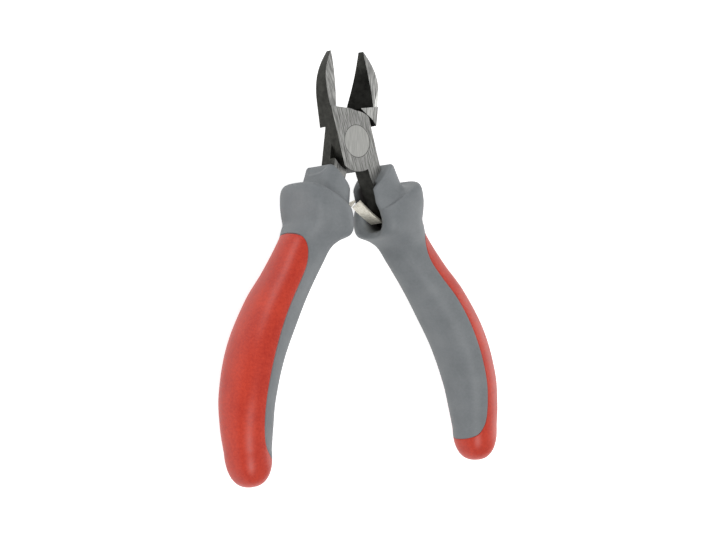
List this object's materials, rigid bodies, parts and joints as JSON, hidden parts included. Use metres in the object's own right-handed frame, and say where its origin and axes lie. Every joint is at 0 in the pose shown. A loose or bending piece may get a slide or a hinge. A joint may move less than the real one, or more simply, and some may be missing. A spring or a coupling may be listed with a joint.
{
  "type": "side cutter",
  "caption": "Small lap-joint side cutter with bevelled jaws, a flush rivet, opening leaf springs and two-material grips.",
  "frame": {"origin": "on the pivot axis, in the ground front face of the joint", "axes": "+Y towards the jaw tips along the tool's centre line, +Z out of the front face along the pivot axis, +X to the right seen from the front; stored open as the springs hold it"},
  "size_m": [0.0878, 0.1082, 0.0188],
  "materials": {
    "forged_steel": "forged and dark phosphated, ground bright on the joint and jaw faces",
    "rivet_steel": "ground flush with the joint",
    "spring_steel": "nickel plated",
    "grey_sleeve": "matt soft moulding",
    "red_core": "fine grained moulding"
  },
  "bodies": {
    "back_half": {"back_lever": "forged_steel", "joint_rivet": "rivet_steel", "grip_sleeve_left": "grey_sleeve", "grip_core_left": "red_core"},
    "front_half": {"front_lever": "forged_steel", "grip_sleeve_right": "grey_sleeve", "grip_core_right": "red_core"},
    "leaf_right": {"leaf_spring_right": "spring_steel"},
    "leaf_left": {"leaf_spring_left": "spring_steel"}
  },
  "joints": [
    {"name": "pivot", "type": "hinge", "parent": "back_half", "child": "front_half", "pos_m": [0, 0, -0.0032], "axis": [0, 0, -1], "range_deg": [0, 24], "stiffness_Nm_per_rad": 0.8, "springref_deg": -8.59},
    {"name": "leaf_right_flex", "type": "hinge", "parent": "front_half", "child": "leaf_right", "pos_m": [0.00789, -0.01979, -0.0037], "axis": [0, 0, -1], "range_deg": [0, 26]},
    {"name": "leaf_left_flex", "type": "hinge", "parent": "back_half", "child": "leaf_left", "pos_m": [-0.00789, -0.01979, -0.0037], "axis": [0, 0, 1], "range_deg": [0, 26]}
  ],
  "couplings": [
    {"joint": "leaf_right_flex", "follows": "pivot", "ratio": 1.06},
    {"joint": "leaf_left_flex", "follows": "pivot", "ratio": 1.06}
  ]
}
